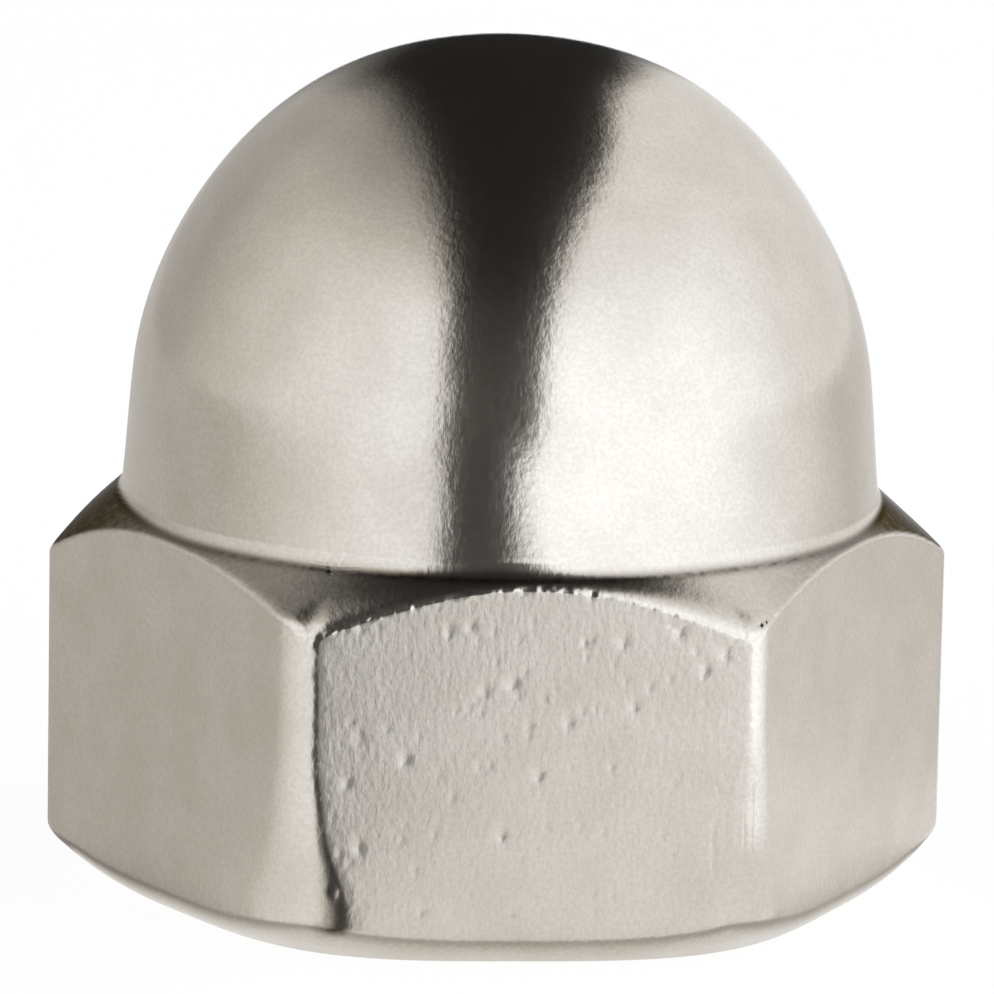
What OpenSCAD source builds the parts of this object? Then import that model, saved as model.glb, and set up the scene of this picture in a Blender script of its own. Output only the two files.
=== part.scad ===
// Domed cap nut (acorn nut), high form, with a blind metric coarse thread.
// One solid piece: a hexagon section turned to a chamfered, domed outline.
// The origin is the centre of the bearing face, and +Z points to the crown.

/* [Hexagon] */
// Width across the flats, which is the spanner size
across_flats = 13; // [10.8:0.1:19]
// Height from the bearing face to the foot of the dome
hex_h = 6.6; // [5:0.1:12]
// Depth turned off the six upright corners
corner_trim = 0.03; // [0.01:0.01:0.4]
// Slope of the chamfer above the flats, from horizontal
top_chamfer_deg = 42; // [20:1:50]
// Slope of the chamfer below the flats, from horizontal
low_chamfer_deg = 30; // [15:1:40]
// Depth of the lower chamfer at the middle of each flat
low_chamfer_h = 0.26; // [0.1:0.02:0.8]
// Radius that blends both chamfers into the trimmed corners
rim_r = 0.6; // [0.2:0.05:0.9]

/* [Dome] */
// Ledge from the flats in to the side of the dome
dome_inset = 0.4; // [0.2:0.05:1]
// Height from the foot of the dome to the centre of its ball
neck_h = 1.45; // [0.5:0.05:5]
// Taper of the neck, each side from upright
neck_draft_deg = 6; // [1:0.5:10]
// Fillet at the foot of the dome
foot_r = 0.6; // [0.1:0.05:0.9]

/* [Thread] */
// Nominal diameter of the thread
thread_d = 8; // [4:0.1:10]
// Pitch of the thread
thread_pitch = 1.25; // [0.7:0.05:1.5]
// Amount by which the countersunk mouth is wider than the thread
mouth_margin = 0.6; // [0.2:0.1:1]
// Full angle of the countersink
mouth_deg = 120; // [90:5:130]
// Full angle of the drill point at the blind end
drill_deg = 118; // [90:1:140]
// Wall left between the drill point and the top of the crown
crown_wall = 2.2; // [1.5:0.1:4]

/* [Hidden] */
$fn = 96;

// Steps in each rounded rim, as fine cones that the flats can cut cleanly
rim_steps = 6;
// How far a cutter passes the face that it opens
overcut = 0.5;

flat_r = across_flats / 2;
sharp_corner_r = flat_r / cos(30);
corner_r = sharp_corner_r - corner_trim;

// Dome: a ball whose side runs on, tangent, as the tapered neck
dome_r = flat_r - dome_inset;
dome_z = hex_h + neck_h;
total_h = dome_z + dome_r;
neck_top_r = dome_r * cos(neck_draft_deg);
neck_top_z = dome_z + dome_r * sin(neck_draft_deg);

// Sharp corners of the turned outline, before they are rounded
foot_corner = [neck_top_r + (neck_top_z - hex_h) * tan(neck_draft_deg), hex_h];
rim_top = [corner_r, hex_h - (corner_r - foot_corner[0]) * tan(top_chamfer_deg)];
bearing_r = flat_r - low_chamfer_h / tan(low_chamfer_deg);
rim_low = [corner_r, (corner_r - bearing_r) * tan(low_chamfer_deg)];

// Blind hole, at the thread's minor diameter
core_r = (thread_d - 1.0825 * thread_pitch) / 2;
mouth_r = (thread_d + mouth_margin) / 2;
mouth_h = (mouth_r - core_r) / tan(mouth_deg / 2);
drill_tip_h = core_r / tan(drill_deg / 2);
core_top_z = total_h - crown_wall - drill_tip_h;

function unit(angle) = [cos(angle), sin(angle)];

// Centre of the arc that rounds the corner at p, whose sides leave it at two angles
function arc_centre(p, from_deg, to_deg, r) =
    p + unit((from_deg + to_deg) / 2) * r / sin((to_deg - from_deg) / 2);

// Path that cuts back such a corner to its arc's start, centre and end, so that a circle can fill it
function open_corner(p, from_deg, to_deg, r) = [
    p + unit(from_deg) * r / tan((to_deg - from_deg) / 2),
    arc_centre(p, from_deg, to_deg, r),
    p + unit(to_deg) * r / tan((to_deg - from_deg) / 2)
];

// Points along the arc of an outward corner, from its to_deg side round to its from_deg side
function round_corner(p, from_deg, to_deg, r) = [
    for (step = [0:rim_steps])
        arc_centre(p, from_deg, to_deg, r)
            + r * unit(to_deg - 270 + (180 + from_deg - to_deg) * step / rim_steps)
];

// Half section of the outside, as it is turned
module turned_outline() {
    foot_from = -top_chamfer_deg;
    foot_to = 90 + neck_draft_deg;
    difference() {
        polygon(concat(
            [[0, 0], [bearing_r, 0]],
            round_corner(rim_low, 90, 180 + low_chamfer_deg, rim_r),
            round_corner(rim_top, 180 - top_chamfer_deg, 270, rim_r),
            open_corner(foot_corner, foot_from, foot_to, foot_r),
            [[neck_top_r, neck_top_z], [0, neck_top_z]]
        ));
        translate(arc_centre(foot_corner, foot_from, foot_to, foot_r)) circle(foot_r);
    }
    intersection() {
        translate([0, dome_z]) circle(dome_r);
        square([dome_r, total_h]);
    }
}

// Countersunk mouth, core hole and drill point
module blind_hole() {
    translate([0, 0, -overcut]) cylinder(h = overcut + core_top_z, r = core_r);
    cylinder(h = mouth_h, r1 = mouth_r, r2 = core_r);
    translate([0, 0, core_top_z]) cylinder(h = drill_tip_h, r1 = core_r, r2 = 0);
}

module cap_nut() {
    color([0.70, 0.68, 0.64])
    difference() {
        intersection() {
            rotate_extrude() turned_outline();
            cylinder(h = total_h, r = sharp_corner_r, $fn = 6);
        }
        blind_hole();
    }
}

cap_nut();
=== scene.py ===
import math

import bmesh
import bpy
import numpy as np
from mathutils import Matrix, Vector
from mathutils.noise import noise as noise_3d


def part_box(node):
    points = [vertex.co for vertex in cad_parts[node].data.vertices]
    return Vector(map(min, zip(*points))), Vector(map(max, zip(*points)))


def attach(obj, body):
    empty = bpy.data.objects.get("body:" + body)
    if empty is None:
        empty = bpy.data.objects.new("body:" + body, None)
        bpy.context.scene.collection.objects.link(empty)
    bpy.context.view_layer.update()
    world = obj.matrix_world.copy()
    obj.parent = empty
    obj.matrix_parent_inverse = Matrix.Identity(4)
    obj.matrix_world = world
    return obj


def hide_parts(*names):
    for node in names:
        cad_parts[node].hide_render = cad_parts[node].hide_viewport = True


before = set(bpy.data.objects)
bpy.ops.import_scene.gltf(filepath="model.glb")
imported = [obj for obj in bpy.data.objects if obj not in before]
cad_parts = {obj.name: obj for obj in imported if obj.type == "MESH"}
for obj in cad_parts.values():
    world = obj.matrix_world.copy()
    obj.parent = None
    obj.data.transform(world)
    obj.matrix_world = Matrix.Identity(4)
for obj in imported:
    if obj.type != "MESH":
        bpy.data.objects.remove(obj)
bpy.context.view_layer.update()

NODE_LOW, NODE_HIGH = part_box("cap_nut")

# ---------------------------------------------------------------- sizes, in millimetres
MM = 0.001
FLAT = (NODE_HIGH.y - NODE_LOW.y) / 2 / MM      # axis to a hexagon flat
CORNER = (NODE_HIGH.x - NODE_LOW.x) / 2 / MM    # axis to a trimmed corner
HEIGHT = NODE_HIGH.z / MM
DOME_INSET = 0.4                                # the dome stands in from the flats by this
DOME_R = FLAT - DOME_INSET
DOME_Z = HEIGHT - DOME_R                        # centre of the dome
NECK_H = 1.45                                   # from the dome's foot up to its centre
HEX_H = DOME_Z - NECK_H                         # foot of the dome over the bearing face
DRAFT = math.radians(6)                         # the neck leans in by this
TOP_SLOPE = math.radians(42)                    # chamfer over the corners
LOW_SLOPE = math.radians(30)                    # chamfer round the bearing face
LOW_H = 0.26                                    # height of that chamfer at a flat's middle
BEARING_R = FLAT - LOW_H / math.tan(LOW_SLOPE)
FOOT_R = 0.4                                    # hollow fillet at the dome's foot

THREAD_MAJOR = 4.0                              # radii of an M8 thread
THREAD_MINOR = 3.3234
PITCH = 1.25
MOUTH_R = 4.3                                   # countersink at the bearing face
MOUTH_HALF_ANGLE = math.radians(60)
BEARING_IN = 4.42                               # inner edge of the flat bearing face
CROWN_WALL = 2.2                                # metal over the drill's point
DRILL_TIP = HEIGHT - CROWN_WALL
DRILL_HALF_ANGLE = math.radians(59)
CORE_TOP = DRILL_TIP - THREAD_MINOR / math.tan(DRILL_HALF_ANGLE)
FULL_THREAD = 8.6                               # the tap's lead runs out above this

# how the real nut departs from the plain form
FRONT_DROP = 0.2                                # in front the foot of the dome lies this much lower
FRONT_EASE = math.radians(6)                    # and the chamfer slopes this much less
LOW_FULLER = 0.32                               # the lower chamfer stands this much fuller at the corners
EDGE_R = 0.12                                   # rounding of the bearing face's edge
RIM_LOW = 0.4                                   # how far a flat's worn lower rim is blended
RIM_TOP = 0.1                                   # and its upper rim
RIM_TOP_FRONT = 0.06                            # more than that on the front flat
RIM_TOP_CORNER = 0.34                           # still more towards its corners
RIM_TOP_LEFT = 0.08                             # and a little more on its left
# rounding of the corners; in front: high up, then what wear adds lower down, and at the bottom
LEFT_ROUND = (0.98, 0.3, 1.0)
RIGHT_ROUND = (0.4, 0.32, 0.75)
SIDE_ROUND = 0.1
BACK_ROUND = 0.3

# ---------------------------------------------------------------- camera
PHI = math.radians(4.27)                        # the front flat looks this far to the right
ELEVATION = math.radians(11.07)
ROLL = math.radians(1.08)
DISTANCE = 130.0                                # mm, as are the lens and the sensor
LENS = 283.1
SENSOR = 36.0
AIM_HEIGHT = 6.9                                # point on the axis that the camera circles
AIM_RIGHT = -0.057                              # it looks this far to the right of that point
AIM_UP = -0.496                                 # and this far over it; minus is to the left, or under

SECTOR = math.radians(60)                       # one side of the hexagon
HALF_SECTOR = math.radians(30)


def smooth(x, a, b):
    """Smooth step from 0 at a to 1 at b."""
    t = np.clip((x - a) / (b - a), 0, 1)
    return t * t * (3 - 2 * t)


def bell(x, width):
    """A bell curve, 1 where x is 0."""
    return np.exp(-(x / width) ** 2)


# ---------------------------------------------------------------- mesh of the nut
# columns of the outer mesh on each flat and across the corner after it, from the front flat round
FLAT_COLUMNS = (92, 50, 24, 24, 24, 50)
CORNER_COLUMNS = (24, 8, 8, 8, 8, 16)
HALF_CORNER = math.radians(3.2)
# rows of the outer mesh: on the bearing face's edge, then in four bands (the lower chamfer and rim, the
# flat, the upper rim with chamfer and fillet, the neck), and on the dome
EDGE_ROWS = 4
SIDE_ROWS = (12, 46, 30, 5)
DOME_ROWS = 45


def column_angles():
    """Angles from the front flat's middle, -pi to pi; dense on the front flat and across each corner."""
    to_corner = HALF_SECTOR - HALF_CORNER
    out = []
    for i, (along, across) in enumerate(zip(FLAT_COLUMNS, CORNER_COLUMNS)):
        mid = SECTOR * i
        out += list(mid + np.linspace(-to_corner, to_corner, along, endpoint=False))
        out += list(mid + np.linspace(to_corner, HALF_SECTOR + HALF_CORNER, across, endpoint=False))
    return (np.array(out) + math.pi) % (2 * math.pi) - math.pi


def flat_offset(theta):
    """Signed angle from the nearest flat's middle."""
    return (theta + HALF_SECTOR) % SECTOR - HALF_SECTOR


def worn_round(amounts, z, lower, bottom):
    """Rounding of a corner that wear has widened lower down and at the bottom, over those heights."""
    plain, more_lower, more_bottom = amounts
    return plain + more_lower * (1 - smooth(z, *lower)) + more_bottom * (1 - smooth(z, *bottom))


def corner_round(theta, z):
    """Rounding where two flats meet. Corner 0 is at the front flat's right, and corner 5 at its left."""
    corner = np.round((np.degrees(theta) - 30) / 60).astype(int) % 6
    left = worn_round(LEFT_ROUND, z, (2.0, 3.6), (0.5, 2.4))
    right = worn_round(RIGHT_ROUND, z, (2.6, 4.1), (0.5, 2.0))
    side = SIDE_ROUND + 0 * z
    back = BACK_ROUND + 0 * z
    return np.select([corner == 5, corner == 0, (corner == 1) | (corner == 4)], [left, right, side], back)


def hexagon_r(theta, z):
    """Radius of the hexagon with rounded corners."""
    a = np.abs(flat_offset(theta))
    rho = corner_round(theta, z)
    far = (FLAT - rho) / math.cos(HALF_SECTOR)
    d = HALF_SECTOR - a
    rounded = far * np.cos(d) + np.sqrt(np.maximum(rho ** 2 - (far * np.sin(d)) ** 2, 0))
    limit = np.arctan((FLAT - rho) * math.tan(HALF_SECTOR) / FLAT)
    return np.minimum(np.where(a < limit, FLAT / np.cos(a), rounded), CORNER)


def arc(cr, cz, r, a0, a1, n):
    """Radii and heights of n points of an arc round (cr, cz)."""
    t = np.linspace(a0, a1, n)[:, None]
    return cr + r * np.cos(t), cz + r * np.sin(t)


def between(a, b, n):
    """n even steps between two heights, without the ends."""
    t = np.linspace(0, 1, n + 2)[1:-1, None]
    return a + (b - a) * t


def soft_min(a, b, k):
    """The smaller of two numbers, with a rounded change from one to the other."""
    h = np.maximum(k - np.abs(a - b), 0)
    return np.minimum(a, b) - h * h / (4 * k)


def top_form(theta):
    """Height of the dome's foot, and slope of the chamfer below it."""
    front = smooth(np.cos(theta), 0.0, 0.6)
    return HEX_H - FRONT_DROP * front, TOP_SLOPE - FRONT_EASE * front


def foot_fillet(theta):
    """Centre of the fillet at the dome's foot, and the heights where it starts and ends."""
    foot_z, slope = top_form(theta)
    t = FOOT_R * np.tan((math.pi / 2 - slope - DRAFT) / 2)
    low = foot_z - t * np.sin(slope)
    centre_r = neck_r(foot_z) + t * np.cos(slope) + FOOT_R * np.sin(slope)
    centre_z = low + FOOT_R * np.cos(slope)
    return centre_r, centre_z, low, centre_z - FOOT_R * math.sin(DRAFT)


def neck_r(z):
    """Radius of the neck at a height, up to the dome."""
    return DOME_R * math.cos(DRAFT) + (DOME_Z + DOME_R * math.sin(DRAFT) - z) * math.tan(DRAFT)


def turned_r(theta, z):
    """Radius of the turned outline: chamfer, then fillet, then the neck up to the dome."""
    foot_z, slope = top_form(theta)
    centre_r, centre_z, low, high = foot_fillet(theta)
    chamfer = neck_r(foot_z) + (foot_z - z) / np.tan(slope)
    fillet = centre_r - np.sqrt(np.maximum(FOOT_R ** 2 - (z - centre_z) ** 2, 0))
    return np.where(z < low, chamfer, np.where(z < high, fillet, neck_r(z)))


def low_cone(theta, z):
    """Radius of the lower chamfer. It is fuller towards the corners."""
    toward = smooth(np.abs(flat_offset(theta)), 0, HALF_SECTOR)
    return BEARING_R + LOW_FULLER * toward + z / math.tan(LOW_SLOPE)


def rim_heights(theta):
    """Heights of the lower and upper edge of a flat, as sharp edges. They lie near these two heights."""
    near_low, near_high = 0.8, 5.8
    low = (hexagon_r(theta, near_low) - low_cone(theta, 0)) * math.tan(LOW_SLOPE)
    foot_z, slope = top_form(theta)
    high = foot_z - (hexagon_r(theta, near_high) - neck_r(foot_z)) * np.tan(slope)
    return low, high


def upper_rim(theta):
    """How far the upper rim is blended; most on the front flat, and there a little more to the left."""
    front = 1 - smooth(np.abs(theta), 0.48, 0.56)
    toward = (np.abs(flat_offset(theta)) / HALF_SECTOR) ** 2
    left = smooth(-theta, 0.05, 0.3)
    return RIM_TOP + front * (RIM_TOP_FRONT + RIM_TOP_CORNER * toward + RIM_TOP_LEFT * left)


def skin_r(theta, z):
    """Radius of the outer surface below the dome."""
    r = soft_min(hexagon_r(theta, z), low_cone(theta, z), RIM_LOW)
    return soft_min(r, turned_r(theta, z), upper_rim(theta))


def skin_point(degrees, z):
    """A point of that surface."""
    theta = math.radians(degrees)
    r = float(skin_r(theta, z))
    return r * math.sin(theta), -r * math.cos(theta), z


def outline(theta):
    """Rows of the outer surface from the mouth, under the nut and up to the crown."""
    ones = np.ones_like(theta)
    bearing = np.array([BEARING_IN, 4.9, 5.5])[:, None]
    rows = [(bearing * ones, np.zeros_like(bearing) * ones)]
    # edge of the bearing face
    t = EDGE_R * math.tan(LOW_SLOPE / 2)
    down = -math.pi / 2
    rows.append(arc(low_cone(theta, 0) - t, EDGE_R, EDGE_R, down, down + LOW_SLOPE, EDGE_ROWS))
    # lower chamfer, flat, upper chamfer, fillet and neck: one radius for each height, and the rows lie
    # closer above the stop that is under the upper rim
    low, high = rim_heights(theta)
    start = t * math.sin(LOW_SLOPE)
    neck_top = DOME_Z + DOME_R * math.sin(DRAFT)
    stops = [stop * ones for stop in (start, low + 0.3, high - 0.5, HEX_H + 0.2, neck_top)]
    z = np.vstack([between(a, b, n) for a, b, n in zip(stops, stops[1:], SIDE_ROWS)])
    rows.append((skin_r(theta * np.ones_like(z), z), z))
    dome_r, dome_z = arc(0 * ones, DOME_Z, DOME_R, DRAFT, math.pi / 2, DOME_ROWS)
    rows.append((dome_r[:-1], dome_z[:-1]))
    return np.vstack([r for r, _ in rows]), np.vstack([z * ones for _, z in rows])


def outer_surface():
    """Vertices and faces of the outside, with the crown as its last vertex."""
    theta = column_angles()
    r, z = outline(theta)
    x = r * np.sin(theta)
    y = -r * np.cos(theta)
    m, n = r.shape
    verts = np.stack([x, y, z], -1).reshape(-1, 3)
    verts = np.vstack([verts, [[0, 0, HEIGHT]]])
    faces = []
    for i in range(m - 1):
        for j in range(n):
            k = (j + 1) % n
            faces.append((i * n + j, i * n + k, (i + 1) * n + k, (i + 1) * n + j))
    last = (m - 1) * n
    for j in range(n):
        faces.append((last + j, last + (j + 1) % n, m * n))
    return verts, faces


# one turn of the thread's profile: share of the pitch, share of the depth; the root is a little rounded
THREAD_ROWS = [(0.0, 0.0), (0.125, 0.0), (0.25, 0.0), (0.354, 1 / 3), (0.458, 2 / 3), (0.5625, 1.0),
               (0.625, 1.04), (0.6875, 1.0), (0.79, 2 / 3), (0.896, 1 / 3)]


def thread_surface(columns=72):
    """A right-hand internal thread as a sheared grid, cut by the countersunk mouth and run out at the
    top. Its last column is its first one, a pitch higher."""
    per = len(THREAD_ROWS)
    turns = math.ceil(CORE_TOP / PITCH) + 1
    verts, faces, index = [], [], {}

    def vert(i, j):
        i, j = (i - per, 0) if j == columns else (i, j)
        if (i, j) not in index:
            u, depth = THREAD_ROWS[i % per]
            turn = j / columns
            z = PITCH * (i // per + u + turn)
            fade = 1 - smooth(z, FULL_THREAD, CORE_TOP - 0.2)
            r = THREAD_MINOR + (THREAD_MAJOR - THREAD_MINOR) * depth * fade
            z = min(max(z, 0.0), CORE_TOP)
            r = max(r, MOUTH_R - z * math.tan(MOUTH_HALF_ANGLE))
            if z == CORE_TOP:
                r = THREAD_MINOR
            a = turn * 2 * math.pi
            index[i, j] = len(verts)
            verts.append((r * math.sin(a), -r * math.cos(a), z))
        return index[i, j]

    for i in range(-per, turns * per):
        for j in range(columns):
            quad = (vert(i, j), vert(i + 1, j), vert(i + 1, j + 1), vert(i, j + 1))
            faces.append(quad)
    return np.array(verts), faces


def zip_rings(bm, ring_a, ring_b):
    """Triangles between two closed rings of vertices, each sorted by angle."""
    def angle(v):
        return math.atan2(v.co.x, -v.co.y) % (2 * math.pi)
    ring_a, ring_b = sorted(ring_a, key=angle), sorted(ring_b, key=angle)
    na, nb = len(ring_a), len(ring_b)
    i = j = 0
    while i < na or j < nb:
        ta = angle(ring_a[(i + 1) % na]) + (2 * math.pi if i + 1 >= na else 0)
        tb = angle(ring_b[(j + 1) % nb]) + (2 * math.pi if j + 1 >= nb else 0)
        if j >= nb or (i < na and ta <= tb):
            bm.faces.new((ring_a[i % na], ring_a[(i + 1) % na], ring_b[j % nb]))
            i += 1
        else:
            bm.faces.new((ring_b[j % nb], ring_a[i % na], ring_b[(j + 1) % nb]))
            j += 1


def add_grid(bm, verts, faces):
    """Adds vertices and faces to a mesh. A face's repeated corners are dropped."""
    made = [bm.verts.new(v) for v in verts]
    for f in faces:
        ids = list(dict.fromkeys(f))
        if len(ids) > 2:
            bm.faces.new([made[i] for i in ids])


def refine(bm, wanted, cuts):
    """Cuts the edges of the wanted faces into smaller ones."""
    edges = {e for f in bm.faces if wanted(f) for e in f.edges}
    bmesh.ops.subdivide_edges(bm, edges=list(edges), cuts=cuts, use_grid_fill=True)


def in_front(f):
    """The front flat with its rims and corners."""
    c = f.calc_center_median()
    beside = abs(math.atan2(c.x, -c.y))
    return c.z < HEX_H and c.y < 0 and c.xy.length > DOME_R + 0.05 and beside < math.radians(34)


def thread_mesh():
    """The thread as a mesh of its own, with its doubled vertices merged."""
    verts, faces = thread_surface()
    bm = bmesh.new()
    add_grid(bm, verts, faces)
    bmesh.ops.remove_doubles(bm, verts=bm.verts, dist=1e-4)
    bmesh.ops.dissolve_degenerate(bm, edges=bm.edges, dist=1e-5)
    me = bpy.data.meshes.new("thread")
    bm.to_mesh(me)
    bm.free()
    return me


def close_bore(bm, top):
    """The drill's cone over the ring of vertices at the thread's top."""
    tip = bm.verts.new((0, 0, DRILL_TIP))
    mid = [bm.verts.new((v.co.x / 2, v.co.y / 2, (v.co.z + DRILL_TIP) / 2)) for v in top]
    zip_rings(bm, mid, top)
    ring = sorted(mid, key=lambda v: math.atan2(v.co.x, -v.co.y))
    for a, b in zip(ring, ring[1:] + ring[:1]):
        bm.faces.new((a, b, tip))


def build_nut():
    """The whole nut as one closed mesh: the outside, the thread and the drilled end of the bore."""
    bm = bmesh.new()
    add_grid(bm, *outer_surface())
    refine(bm, in_front, 1)
    blemish = Vector(skin_point(BLEMISH_TURN, HEX_H))
    refine(bm, lambda f: (f.calc_center_median() - blemish).length < 0.5, 3)
    thread = thread_mesh()
    count = len(bm.verts)
    outer_ring = [v for v in bm.verts if abs(v.co.z) < 1e-5 and v.co.xy.length < BEARING_IN + 0.01]
    bm.from_mesh(thread)
    bpy.data.meshes.remove(thread)
    bm.verts.ensure_lookup_table()
    new = bm.verts[count:]
    mouth = [v for v in new if v.co.z < 1e-4]
    top = [v for v in new if v.co.z > CORE_TOP - 1e-4]
    zip_rings(bm, outer_ring, mouth)
    close_bore(bm, top)
    bmesh.ops.recalc_face_normals(bm, faces=bm.faces)
    return bm


# ---------------------------------------------------------------- wear
HALF_FLAT = FLAT * math.tan(HALF_SECTOR)
PIT_SEED = 8
# scattered pits: flat (0 in front, counted to the right), number, radius, depth
PITS = ((0, 18, 0.075, 0.02), (0, 90, 0.045, 0.01), (-1, 30, 0.045, 0.004), (1, 14, 0.045, 0.004),
        (2, 30, 0.05, 0.006), (3, 30, 0.05, 0.006), (4, 30, 0.05, 0.006))

# marks listed one by one, with their radius and depth: turns are in degrees from the front flat's middle,
# drops in mm below the dome's foot, and the rest in parts of the flat's half width and the hexagon's height
PAIR_AT = ((0.84, 0.785), (0.76, 0.75))         # two deep pits near the top right corner
PAIR_SIZE = (0.075, 0.02)
NICK_AT = 0.27                                  # across, in the flat's top edge
NICK_DROPS = (0.45, 0.5)
NICK_SIZE = (0.04, 0.012)
CRACK_TURNS = (30.4, 33.1)                      # a short crack on the chamfer over the right corner
CRACK_DROPS = (0.98, 0.9)
CRACK_SIZE = (0.05, 0.03)
BLEMISH_TURN = -28.5                            # a small U on the foot of the dome
BLEMISH_HALF = 1.45
BLEMISH_DROP = 0.3
BLEMISH_RISE = 0.3                              # its arms end this much higher
BLEMISH_SIZE = (0.04, 0.006)
SCORES = ((28.6, 0.95, 2.6), (29.7, 1.4, 3.05), (25.1, 1.5, 2.55))   # turn, low end, high end
SCORE_DEPTH = 0.012
SCORE_WIDTH = 0.16                              # in degrees
EDGE_ROUGH = 0.0055                             # of the front flat's rolled edge


def on_flat(index, across, height):
    """A point of a flat: index 0 in front, 1 to its right."""
    a = math.radians(60 * index)
    return (FLAT * math.sin(a) + across * math.cos(a), -FLAT * math.cos(a) + across * math.sin(a), height)


def scattered_pits():
    """Pits as (centre, radius, depth), drawn with a fixed seed."""
    rng = np.random.RandomState(PIT_SEED)
    out = []
    for index, count, size, deep in PITS:
        for _ in range(count):
            across = rng.uniform(-0.82, 0.86) * HALF_FLAT
            height = rng.uniform(0.14, 0.86) * HEX_H
            radius = size * rng.uniform(0.8, 1.25)
            out.append((on_flat(index, across, height), radius, deep * rng.uniform(0.5, 1.3)))
    return out


def placed_marks():
    """The listed marks, as (centre, radius, depth)."""
    out = [(on_flat(0, x * HALF_FLAT, z * HEX_H), *PAIR_SIZE) for x, z in PAIR_AT]
    out += [(on_flat(0, NICK_AT * HALF_FLAT, HEX_H - drop), *NICK_SIZE) for drop in NICK_DROPS]
    for turn, drop in zip(np.linspace(*CRACK_TURNS, 4), np.linspace(*CRACK_DROPS, 4)):
        out.append((skin_point(turn, HEX_H - drop), *CRACK_SIZE))
    for t in np.linspace(-1, 1, 9):
        place = skin_point(BLEMISH_TURN + BLEMISH_HALF * t, HEX_H - BLEMISH_DROP + BLEMISH_RISE * t * t)
        out.append((place, *BLEMISH_SIZE))
    return out


def ripple(points, size, seed):
    """Smooth noise at each point, about -1 to 1, with bumps of that size in mm."""
    shift = Vector((seed * 17.3, seed * 5.1, seed * 9.7))
    return np.array([noise_3d(Vector(p) / size + shift) for p in points])


def pit_depth(co):
    """How far pits and marks push each point in. They are upright ovals with uneven edges."""
    out = np.zeros(len(co))
    for centre, radius, depth in scattered_pits() + placed_marks():
        off = (co - np.array(centre)) / radius
        off[:, 2] *= 0.75
        q = np.linalg.norm(off, axis=1)
        near = np.nonzero(q < 3)[0]
        if len(near):
            uneven = 1 + 0.35 * ripple(co[near], 0.07, 3)
            out[near] += depth * bell(q[near] * uneven, 1)
    return out


def front_edge(co):
    """How close a point lies to the rolled edge of the front flat, 0 to 1."""
    theta = np.arctan2(co[:, 0], -co[:, 1])
    across, z = co[:, 0], co[:, 2]
    within = np.clip(theta, -0.52, 0.52)
    low, high = rim_heights(within)
    top = high - 0.6 * upper_rim(within)
    side = np.where(theta < 0, -HALF_SECTOR, HALF_SECTOR)
    tangent = (FLAT - corner_round(side, z)) * math.tan(HALF_SECTOR)
    near_top = bell(z - top, 0.1)
    near_side = bell(np.abs(across) - tangent - 0.06, 0.1)
    near_low = 0.6 * bell(z - low - 0.12, 0.1)
    front = (np.abs(theta) < math.radians(33)) & (co[:, 1] < -5.6) & (z < HEX_H) & (z > 0.2)
    inside = smooth(top - z, -0.1, 0.1) * smooth(z - low, 0, 0.2)
    return np.where(front, np.maximum(np.maximum(near_top, near_low), near_side * inside), 0)


def ragged_edge(co):
    """Uneven height along the edge of the front flat, roughest at the left and at the top."""
    edge = front_edge(co)
    out = np.zeros(len(co))
    where = np.nonzero(edge > 0.03)[0]
    rough = EDGE_ROUGH * (1 - 0.7 * smooth(co[where, 0], -0.2, 1.4)) * (1 + smooth(co[where, 2], 5.0, 5.5))
    out[where] = edge[where] * rough * (ripple(co[where], 0.1, 1) + 0.8 * ripple(co[where], 0.22, 2))
    return out


def scores(co):
    """Upright scratches on the right corner."""
    angle = np.degrees(np.arctan2(co[:, 0], -co[:, 1]))
    out = np.zeros(len(co))
    for turn, low, high in SCORES:
        ends = smooth(co[:, 2], low, low + 0.3) * (1 - smooth(co[:, 2], high - 0.3, high))
        out += SCORE_DEPTH * ends * bell(angle - turn, SCORE_WIDTH)
    return out


def swell(co):
    """The dome is a little out of round."""
    rise = np.degrees(np.arctan2(co[:, 2] - DOME_Z, np.hypot(co[:, 0], co[:, 1])))
    wave = 0.015 + 0.03 * np.cos(np.radians(rise) * 360 / 62) - 0.03 * smooth(rise, 55, 80)
    return np.where(co[:, 2] > HEX_H, wave * smooth(rise, -16, 8), 0)


def wear(co, normal):
    """Moves the outer vertices (mm) along their normals by the wear of the real nut."""
    outside = (np.hypot(co[:, 0], co[:, 1]) > BEARING_IN + 0.1) | (co[:, 2] > DRILL_TIP + 0.2)
    move = np.zeros(len(co))
    skin = co[outside]
    move[outside] = ragged_edge(skin) + swell(skin) - pit_depth(skin) - scores(skin)
    return co + normal * move[:, None]


def store(me, name, values):
    """Keeps a number for each vertex, for the material to read."""
    a = me.attributes.new(name, "FLOAT", "POINT")
    a.data.foreach_set("value", values.astype(np.float32).ravel())


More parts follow.
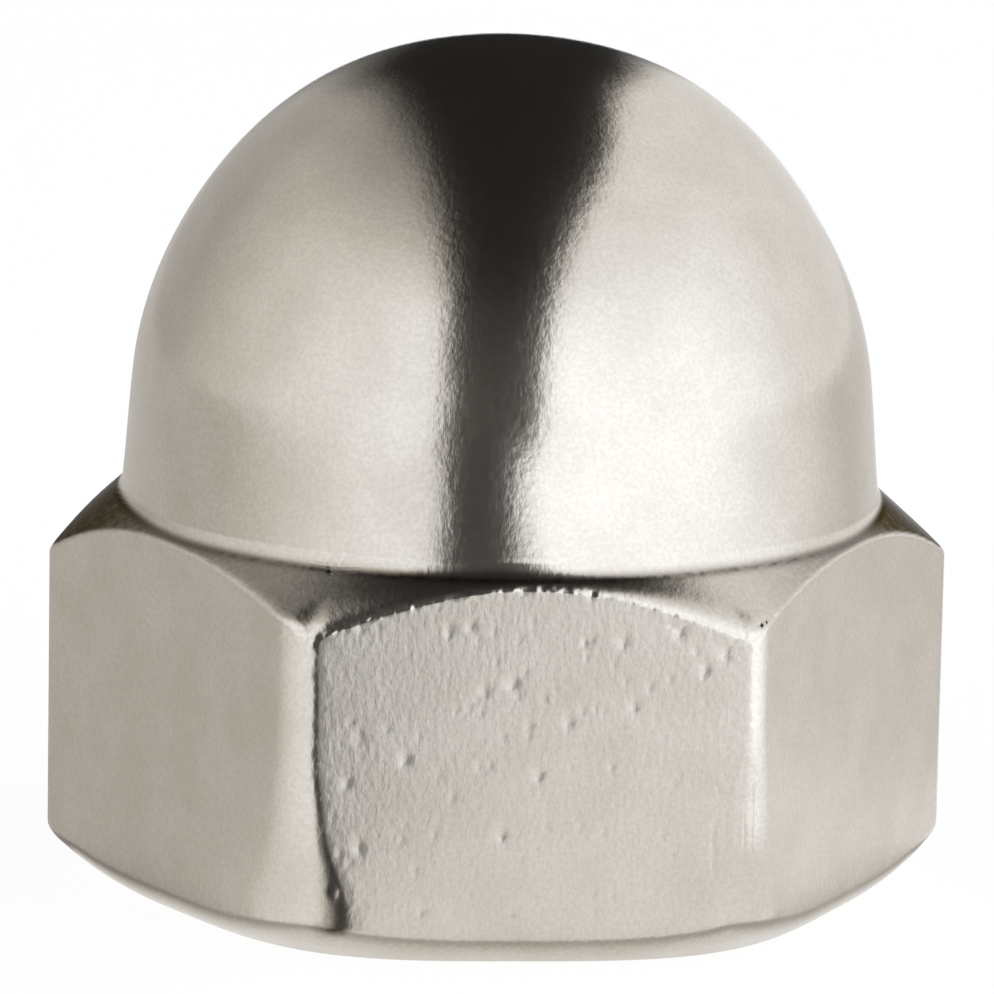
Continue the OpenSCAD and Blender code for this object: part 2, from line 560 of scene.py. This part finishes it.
def mark_surfaces(me, co, normal):
    """Says where the milled flats, the chamfer and the crevice at the dome's foot are, 0 to 1; the last two
    carry painted shade.
    """
    theta = np.arctan2(co[:, 0], -co[:, 1])
    reach = np.hypot(co[:, 0], co[:, 1])
    mids = SECTOR * np.round(theta / SECTOR)
    facing = normal[:, 0] * np.sin(mids) - normal[:, 1] * np.cos(mids)
    depth = co[:, 0] * np.sin(mids) - co[:, 1] * np.cos(mids)
    store(me, "flatness", smooth(facing, 0.985, 0.999) * smooth(depth, FLAT - 0.12, FLAT - 0.03))

    # the chamfer is darkened with painted shade, most towards the two side corners and least over the two
    # front ones
    near_top = smooth(co[:, 2], 5.0, 5.4) * (reach > 6) * (co[:, 2] < HEX_H + 0.1)
    chamfer = near_top * smooth(normal[:, 2], 0.45, 0.7)
    sideways = np.abs(np.sin(theta))
    front_corner = bell(np.abs(theta) - 0.5, 0.25)
    store(me, "chamfer", chamfer * (0.5 + 0.5 * smooth(sideways, 0.5, 0.95) - 0.4 * front_corner))
    # painted shade on the chamfer's side corners, which dims their sheen
    store(me, "side_corner", chamfer * smooth(sideways, 0.88, 0.96))

    _, _, foot_z, _ = foot_fillet(theta)
    on_skin = np.abs(reach - turned_r(theta, co[:, 2])) < 0.03
    # painted shade along the crevice at the dome's foot
    store(me, "crevice", bell(co[:, 2] - foot_z - 0.02, 0.045) * on_skin)


def make_nut(material):
    """The whole nut as one closed, worn mesh."""
    bm = build_nut()
    bmesh.ops.triangulate(bm, faces=[f for f in bm.faces if len(f.verts) > 4])
    bm.normal_update()
    co = np.array([v.co for v in bm.verts])
    normal = np.array([v.normal for v in bm.verts])
    co = wear(co, normal)
    me = bpy.data.meshes.new("domed_cap_nut")
    bm.to_mesh(me)
    bm.free()
    me.vertices.foreach_set("co", (co * MM).astype(np.float32).ravel())
    mark_surfaces(me, co, normal)
    me.shade_smooth()
    me.set_sharp_from_angle(angle=math.radians(48))
    me.update()
    me.materials.append(material)
    ob = bpy.data.objects.new("domed_cap_nut", me)
    bpy.context.scene.collection.objects.link(ob)
    return ob


# ---------------------------------------------------------------- node helpers
class Field:
    """A number that varies over a surface, held as a node socket. Arithmetic on it adds Math nodes."""

    def __init__(self, tree, socket):
        self.tree = tree
        self.socket = socket

    def op(self, operation, *others):
        n = self.tree.nodes.new("ShaderNodeMath")
        n.operation = operation
        for socket, value in zip(n.inputs, (self,) + others):
            put(self.tree, socket, value)
        return Field(self.tree, n.outputs[0])

    def __add__(self, other):
        return self.op("ADD", other)

    def __sub__(self, other):
        return self.op("SUBTRACT", other)

    def __mul__(self, other):
        return self.op("MULTIPLY", other)

    def __truediv__(self, other):
        return self.op("DIVIDE", other)

    def max(self, other):
        return self.op("MAXIMUM", other)

    def min(self, other):
        return self.op("MINIMUM", other)

    def ramp(self, low, high, to_low=0.0, to_high=1.0):
        """Smooth step from to_low, at low, to to_high, at high."""
        n = self.tree.nodes.new("ShaderNodeMapRange")
        n.interpolation_type = "SMOOTHSTEP"
        names = ("Value", "From Min", "From Max", "To Min", "To Max")
        for name, value in zip(names, (self, low, high, to_low, to_high)):
            put(self.tree, n.inputs[name], value)
        return Field(self.tree, n.outputs["Result"])

    def hill(self, middle, width):
        """A bell curve, 1 at its middle."""
        off = (self - middle) / width
        return (off * off * -1.0).op("EXPONENT")


def put(tree, socket, value):
    """Sets a socket to a number or colour, or links a field to it."""
    if isinstance(value, Field):
        tree.links.new(value.socket, socket)
    else:
        socket.default_value = value


def node(tree, kind, **props):
    """A new node with its properties set."""
    n = tree.nodes.new(kind)
    for key, value in props.items():
        setattr(n, key, value)
    return n


def new_material(name):
    """A material with an empty node tree."""
    m = bpy.data.materials.new(name)
    m.use_nodes = True
    m.node_tree.nodes.clear()
    return m, m.node_tree


def place_of(tree, scale=(1, 1, 1)):
    """Object coordinates, in metres times scale, as a vector socket."""
    coord = node(tree, "ShaderNodeTexCoord")
    scaled = node(tree, "ShaderNodeVectorMath", operation="MULTIPLY")
    tree.links.new(coord.outputs["Object"], scaled.inputs[0])
    scaled.inputs[1].default_value = scale
    return scaled.outputs[0]


def split(tree, vector):
    """The three parts of a vector socket."""
    xyz = node(tree, "ShaderNodeSeparateXYZ")
    tree.links.new(vector, xyz.inputs[0])
    return [Field(tree, out) for out in xyz.outputs]


def noise(tree, vector, scale, detail=2.0, rough=0.5):
    """Noise, 0 to 1, with that many waves in a metre."""
    n = node(tree, "ShaderNodeTexNoise")
    tree.links.new(vector, n.inputs["Vector"])
    n.inputs["Scale"].default_value = scale
    n.inputs["Detail"].default_value = detail
    n.inputs["Roughness"].default_value = rough
    return Field(tree, n.outputs["Fac"])


def blend_colour(tree, factor, first, second):
    """A mix of two colours, each a constant or another mix's socket."""
    n = node(tree, "ShaderNodeMix", data_type="RGBA")
    put(tree, n.inputs["Factor"], factor)
    for name, colour in (("A", first), ("B", second)):
        if isinstance(colour, tuple):
            n.inputs[name].default_value = colour
        else:
            tree.links.new(colour, n.inputs[name])
    return n.outputs["Result"]


def stored(tree, name):
    """What store() kept on the mesh under that name."""
    return Field(tree, node(tree, "ShaderNodeAttribute", attribute_name=name).outputs["Fac"])


# ---------------------------------------------------------------- nickel
YELLOWER = (0.65, 0.6, 0.523, 1)                # the plating varies softly between these two
PALER = (0.705, 0.653, 0.579, 1)
FLECK = (0.45, 0.41, 0.35, 1)
# painted shade on the chamfer
CHAMFER_SHADE = (0.2, 0.17, 0.14, 1)
# painted shade in the crevice at the dome's foot
FOOT_SHADE = (0.1, 0.085, 0.065, 1)
FULL_SHEEN = (1, 1, 1, 1)                       # at a glancing view
# sheen left on the chamfer's side corners, as painted shade
SHADED_SHEEN = (0.26, 0.25, 0.22, 1)
POLISHED_ROUGHNESS = 0.135
MILLED_ROUGHNESS = 0.3
BUMP_HEIGHT = 0.0000025                         # metres


def nickel():
    """Nickel plating: smooth on the dome, more matt on the flats; painted shade darkens the chamfer and the
    foot of the dome.
    """
    m, t = new_material("nickel_steel")
    out = node(t, "ShaderNodeOutputMaterial")
    bsdf = node(t, "ShaderNodeBsdfPrincipled")
    t.links.new(bsdf.outputs[0], out.inputs["Surface"])
    bsdf.inputs["Metallic"].default_value = 1.0
    even = place_of(t)
    upright = place_of(t, (1, 1, 0.55))
    flat, chamfer, crevice, side_corner = [
        stored(t, name) for name in ("flatness", "chamfer", "crevice", "side_corner")]
    cloud = noise(t, even, 900.0, 4.0).ramp(0.3, 0.7)
    fleck = noise(t, even, 14000.0, 3.0, 0.6).ramp(0.35, 0.65, 0, 0.26)
    speck = noise(t, even, 7000.0, 4.0, 0.65)
    colour = blend_colour(t, cloud, YELLOWER, PALER)
    colour = blend_colour(t, fleck, colour, FLECK)
    # painted shade darkens the chamfer, most towards its side corners
    colour = blend_colour(t, chamfer * speck.ramp(0.3, 0.6, 0.75, 1.0), colour, CHAMFER_SHADE)
    # painted shade along the crevice at the dome's foot
    colour = blend_colour(t, crevice * speck.ramp(0.3, 0.65, 1.0, 0.5), colour, FOOT_SHADE)
    t.links.new(colour, bsdf.inputs["Base Color"])
    # painted shade on the chamfer's side corners takes away the sheen at a glancing view
    sheen = blend_colour(t, side_corner, FULL_SHEEN, SHADED_SHEEN)
    t.links.new(sheen, bsdf.inputs["Specular Tint"])
    grain = noise(t, even, 9000.0, 3.0, 0.6)
    matt = flat.ramp(0, 1, POLISHED_ROUGHNESS, MILLED_ROUGHNESS)
    put(t, bsdf.inputs["Roughness"], matt + grain * 0.04 + chamfer * 0.1)
    fine = noise(t, upright, 10500.0, 3.0, 0.6)
    wave = noise(t, even, 2500.0, 2.0, 0.5)
    bump = node(t, "ShaderNodeBump")
    bump.inputs["Distance"].default_value = BUMP_HEIGHT
    put(t, bump.inputs["Height"], (fine - 0.5) * flat.ramp(0, 1, 1.0, 3.1) + wave * 1.2)
    t.links.new(bump.outputs[0], bsdf.inputs["Normal"])
    return m


# ---------------------------------------------------------------- studio
WARM = (1.02, 1.0, 0.97, 1)                     # tint of the light where it is dimmer
COOL = (0.96, 1.0, 1.08, 1)                     # and where it is brightest
TENT_R = 0.5                                    # metres
SHEET_LIFT = 0.00002                            # the sheet lies this far over the floor
FLOOR_HALF = 20.0                               # metres
PAPER = (0.8, 0.8, 0.79, 1)
SHADE_KEPT = (0.12, 0.12, 0.12, 1)              # how much light and shade the camera sees on the floor
SEEN_WHITE = 0.93                               # the floor's own brightness to the camera
SKY = 0.8                                       # the world's light on the nut


def glow_material(name, brightness):
    """An emissive stage material. Its brightness is a function of the tree; bright parts are cooler."""
    m, t = new_material(name)
    out = node(t, "ShaderNodeOutputMaterial")
    glow = node(t, "ShaderNodeEmission")
    level = brightness(t)
    put(t, glow.inputs["Strength"], level)
    t.links.new(blend_colour(t, level.ramp(0.6, 1.4), WARM, COOL), glow.inputs["Color"])
    t.links.new(glow.outputs[0], out.inputs["Surface"])
    return m


def tent_light(tree):
    """Brightness of the light tent by direction from the nut: a lit left wall, a brighter right wall,
    and a dark gap between them that runs from the front over the top to the back."""
    norm = node(tree, "ShaderNodeVectorMath", operation="NORMALIZE")
    tree.links.new(place_of(tree), norm.inputs[0])
    x, y, z = split(tree, norm.outputs[0])
    fwd = y * -1.0
    # 0 at the horizon in front, 90 overhead and 180 at the horizon behind
    turn = z.op("ARCTAN2", fwd) * math.degrees(1)
    # the walls are brightest low down and towards the front
    right = fwd.ramp(-0.5, 0.45) * z.ramp(0.35, 0.95, 0.52, 0.02) + fwd.ramp(-1.0, -0.5, 0.86, 1.0)
    left = (fwd * 0.5 + 0.79).max(0.47) * z.ramp(0.6, 0.97, 1.0, 0.45)
    # the gap is widest overhead, narrow behind, and lies further to the left low in front
    right_edge = turn.ramp(-11, 8, 0.08, 0.207) + turn.hill(93, 40) * 0.2 - turn.ramp(145, 185, 0, 0.12)
    left_edge = turn.ramp(-11, 16, -0.35, -0.285) + turn.ramp(25, 50, 0, 0.02)
    left_edge = left_edge - turn.hill(105, 45) * 0.1 + turn.ramp(145, 180, 0, 0.14)
    lit_right = (x - right_edge).ramp(-0.045, 0.045)
    lit_left = ((left_edge - x) / turn.ramp(20, 110, 0.045, 0.11)).ramp(-1, 1)
    # a little light in the gap, more of it in front
    in_gap = fwd.ramp(0.6, 1.0, 0.02, 0.07)
    return right * lit_right + left * lit_left + in_gap


def hexagon_gap(x, ahead):
    """Distance in mm outside the nut's hexagon."""
    far = None
    for side in range(3):
        a = PHI + SECTOR * side
        d = (x * math.sin(a) + ahead * math.cos(a)).op("ABSOLUTE")
        far = d if far is None else far.max(d)
    return far - FLAT


def sheet_light(tree):
    """Brightness of the white sheet the nut stands on, as the metal sees it, in mm from the nut's axis."""
    x, y, _ = split(tree, place_of(tree, (1 / MM, 1 / MM, 1 / MM)))
    ahead = y * -1.0
    radius = (x * x + y * y).op("SQRT").max(0.01)
    # the sheet is brighter in front than behind, on the right only from some way out
    bearing = (ahead - 2.5) / radius
    left = bearing.ramp(-0.1, 0.9, 0.525, 1.08)
    far_right = (bearing * 0.75 + 1.13).max(0.68).min(1.55)
    far_out = x.ramp(9, 16)
    right = far_right * far_out + (far_out * -1.0 + 1.0) * 0.95
    # a dark wedge spreads forward and to the left from the nut's left front corner
    wedge_left = (ahead - 6.7) * -0.28 - 2.8
    wedge_right = ahead * 0.1 - 3.3
    lit_right = (x - wedge_right).ramp(-0.3, 0.3)
    lit_left = (wedge_left - x).ramp(-0.3, 0.9)
    behind = ahead.ramp(-8.0, 4.0, 1.0, 0.0)
    level = right * lit_right + (left * lit_left).max(left * behind * (lit_right * -1.0 + 1.0)) + 0.05
    # contact shadow round the foot, and the paler paper right under it
    gap = hexagon_gap(x, ahead)
    ring = gap.ramp(-0.6, 0.2) * gap.ramp(0.5, 1.4, 1.0, 0.0)
    under = gap.ramp(-0.6, 0.5, 1.0, 0.0)
    return level * (ring * -0.5 + 1.0) * (under * -1.0 + 1.0) + under * 0.85


def stage_piece(name, bm, material):
    """Makes a piece of the stage, which isn't part of the model."""
    me = bpy.data.meshes.new(name)
    bm.to_mesh(me)
    bm.free()
    me.materials.append(material)
    ob = bpy.data.objects.new(name, me)
    bpy.context.scene.collection.objects.link(ob)
    return ob


def add_tent():
    """The tent and its sheet light the nut and show in its reflections. The camera doesn't see them."""
    bm = bmesh.new()
    bmesh.ops.create_uvsphere(bm, u_segments=48, v_segments=24, radius=TENT_R)
    bmesh.ops.delete(bm, geom=[v for v in bm.verts if v.co.z < -MM], context="VERTS")
    tent = stage_piece("light_tent", bm, glow_material("light_tent", tent_light))
    bm = bmesh.new()
    bmesh.ops.create_circle(bm, cap_ends=True, segments=96, radius=TENT_R)
    sheet = stage_piece("tent_sheet", bm, glow_material("tent_sheet", sheet_light))
    sheet.location.z = SHEET_LIFT
    for ob in (tent, sheet):
        ob.rotation_euler.z = -PHI
        ob.visible_camera = False
        ob.visible_shadow = False
    sheet.visible_diffuse = False


def seen_directly(tree):
    """1 for the rays that should meet a white background, 0 for those that carry light to the object."""
    path = node(tree, "ShaderNodeLightPath")
    names = ("Is Camera Ray", "Is Glossy Ray", "Is Transmission Ray")
    camera, glossy, through = [Field(tree, path.outputs[name]) for name in names]
    return camera.max(glossy).max(through)


def floor_material():
    """Plain pale paper. The camera sees it near white, with a faint contact shadow."""
    m, t = new_material("pale_floor")
    out = node(t, "ShaderNodeOutputMaterial")
    plain = node(t, "ShaderNodeBsdfDiffuse")
    plain.inputs["Color"].default_value = PAPER
    keep = node(t, "ShaderNodeBsdfDiffuse")
    keep.inputs["Color"].default_value = SHADE_KEPT
    white = node(t, "ShaderNodeEmission")
    white.inputs["Strength"].default_value = SEEN_WHITE
    both = node(t, "ShaderNodeAddShader")
    t.links.new(keep.outputs[0], both.inputs[0])
    t.links.new(white.outputs[0], both.inputs[1])
    mix = node(t, "ShaderNodeMixShader")
    put(t, mix.inputs[0], seen_directly(t))
    t.links.new(plain.outputs[0], mix.inputs[1])
    t.links.new(both.outputs[0], mix.inputs[2])
    t.links.new(mix.outputs[0], out.inputs["Surface"])
    return m


def add_floor():
    """The white table that the camera sees."""
    bm = bmesh.new()
    bmesh.ops.create_grid(bm, x_segments=1, y_segments=1, size=FLOOR_HALF)
    stage_piece("floor", bm, floor_material())


def set_world():
    """A white background to what is seen directly, and a soft light on the rest."""
    world = bpy.data.worlds.new("studio")
    bpy.context.scene.world = world
    world.use_nodes = True
    t = world.node_tree
    t.nodes.clear()
    out = node(t, "ShaderNodeOutputWorld")
    back = node(t, "ShaderNodeBackground")
    back.inputs["Color"].default_value = (1, 1, 1, 1)
    put(t, back.inputs["Strength"], seen_directly(t).ramp(0, 1, SKY, 1.0))
    t.links.new(back.outputs[0], out.inputs["Surface"])


def add_camera():
    """The camera stands a little rolled, DISTANCE from a point on the axis, and looks just past it."""
    data = bpy.data.cameras.new("camera")
    cam = bpy.data.objects.new("camera", data)
    scene = bpy.context.scene
    scene.collection.objects.link(cam)
    scene.camera = cam
    level = math.cos(ELEVATION)
    back = Vector((-math.sin(PHI) * level, -math.cos(PHI) * level, math.sin(ELEVATION)))
    right = Vector((math.cos(PHI), -math.sin(PHI), 0))
    up = back.cross(right)
    right, up = (right * math.cos(ROLL) + up * math.sin(ROLL), up * math.cos(ROLL) - right * math.sin(ROLL))
    middle = Vector((0, 0, AIM_HEIGHT))
    target = middle + right * AIM_RIGHT + up * AIM_UP
    place = (middle + back * DISTANCE) * MM
    back = (place / MM - target).normalized()
    right = up.cross(back).normalized()
    up = back.cross(right)
    cam.matrix_world = Matrix((
        (right.x, up.x, back.x, place.x),
        (right.y, up.y, back.y, place.y),
        (right.z, up.z, back.z, place.z),
        (0, 0, 0, 1)))
    data.lens = LENS
    data.sensor_width = SENSOR
    data.clip_start = 0.01
    data.clip_end = 50.0


nut = make_nut(nickel())
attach(nut, "root")
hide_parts("cap_nut")
add_tent()
add_floor()
set_world()
add_camera()
bpy.context.scene.view_settings.view_transform = "Standard"
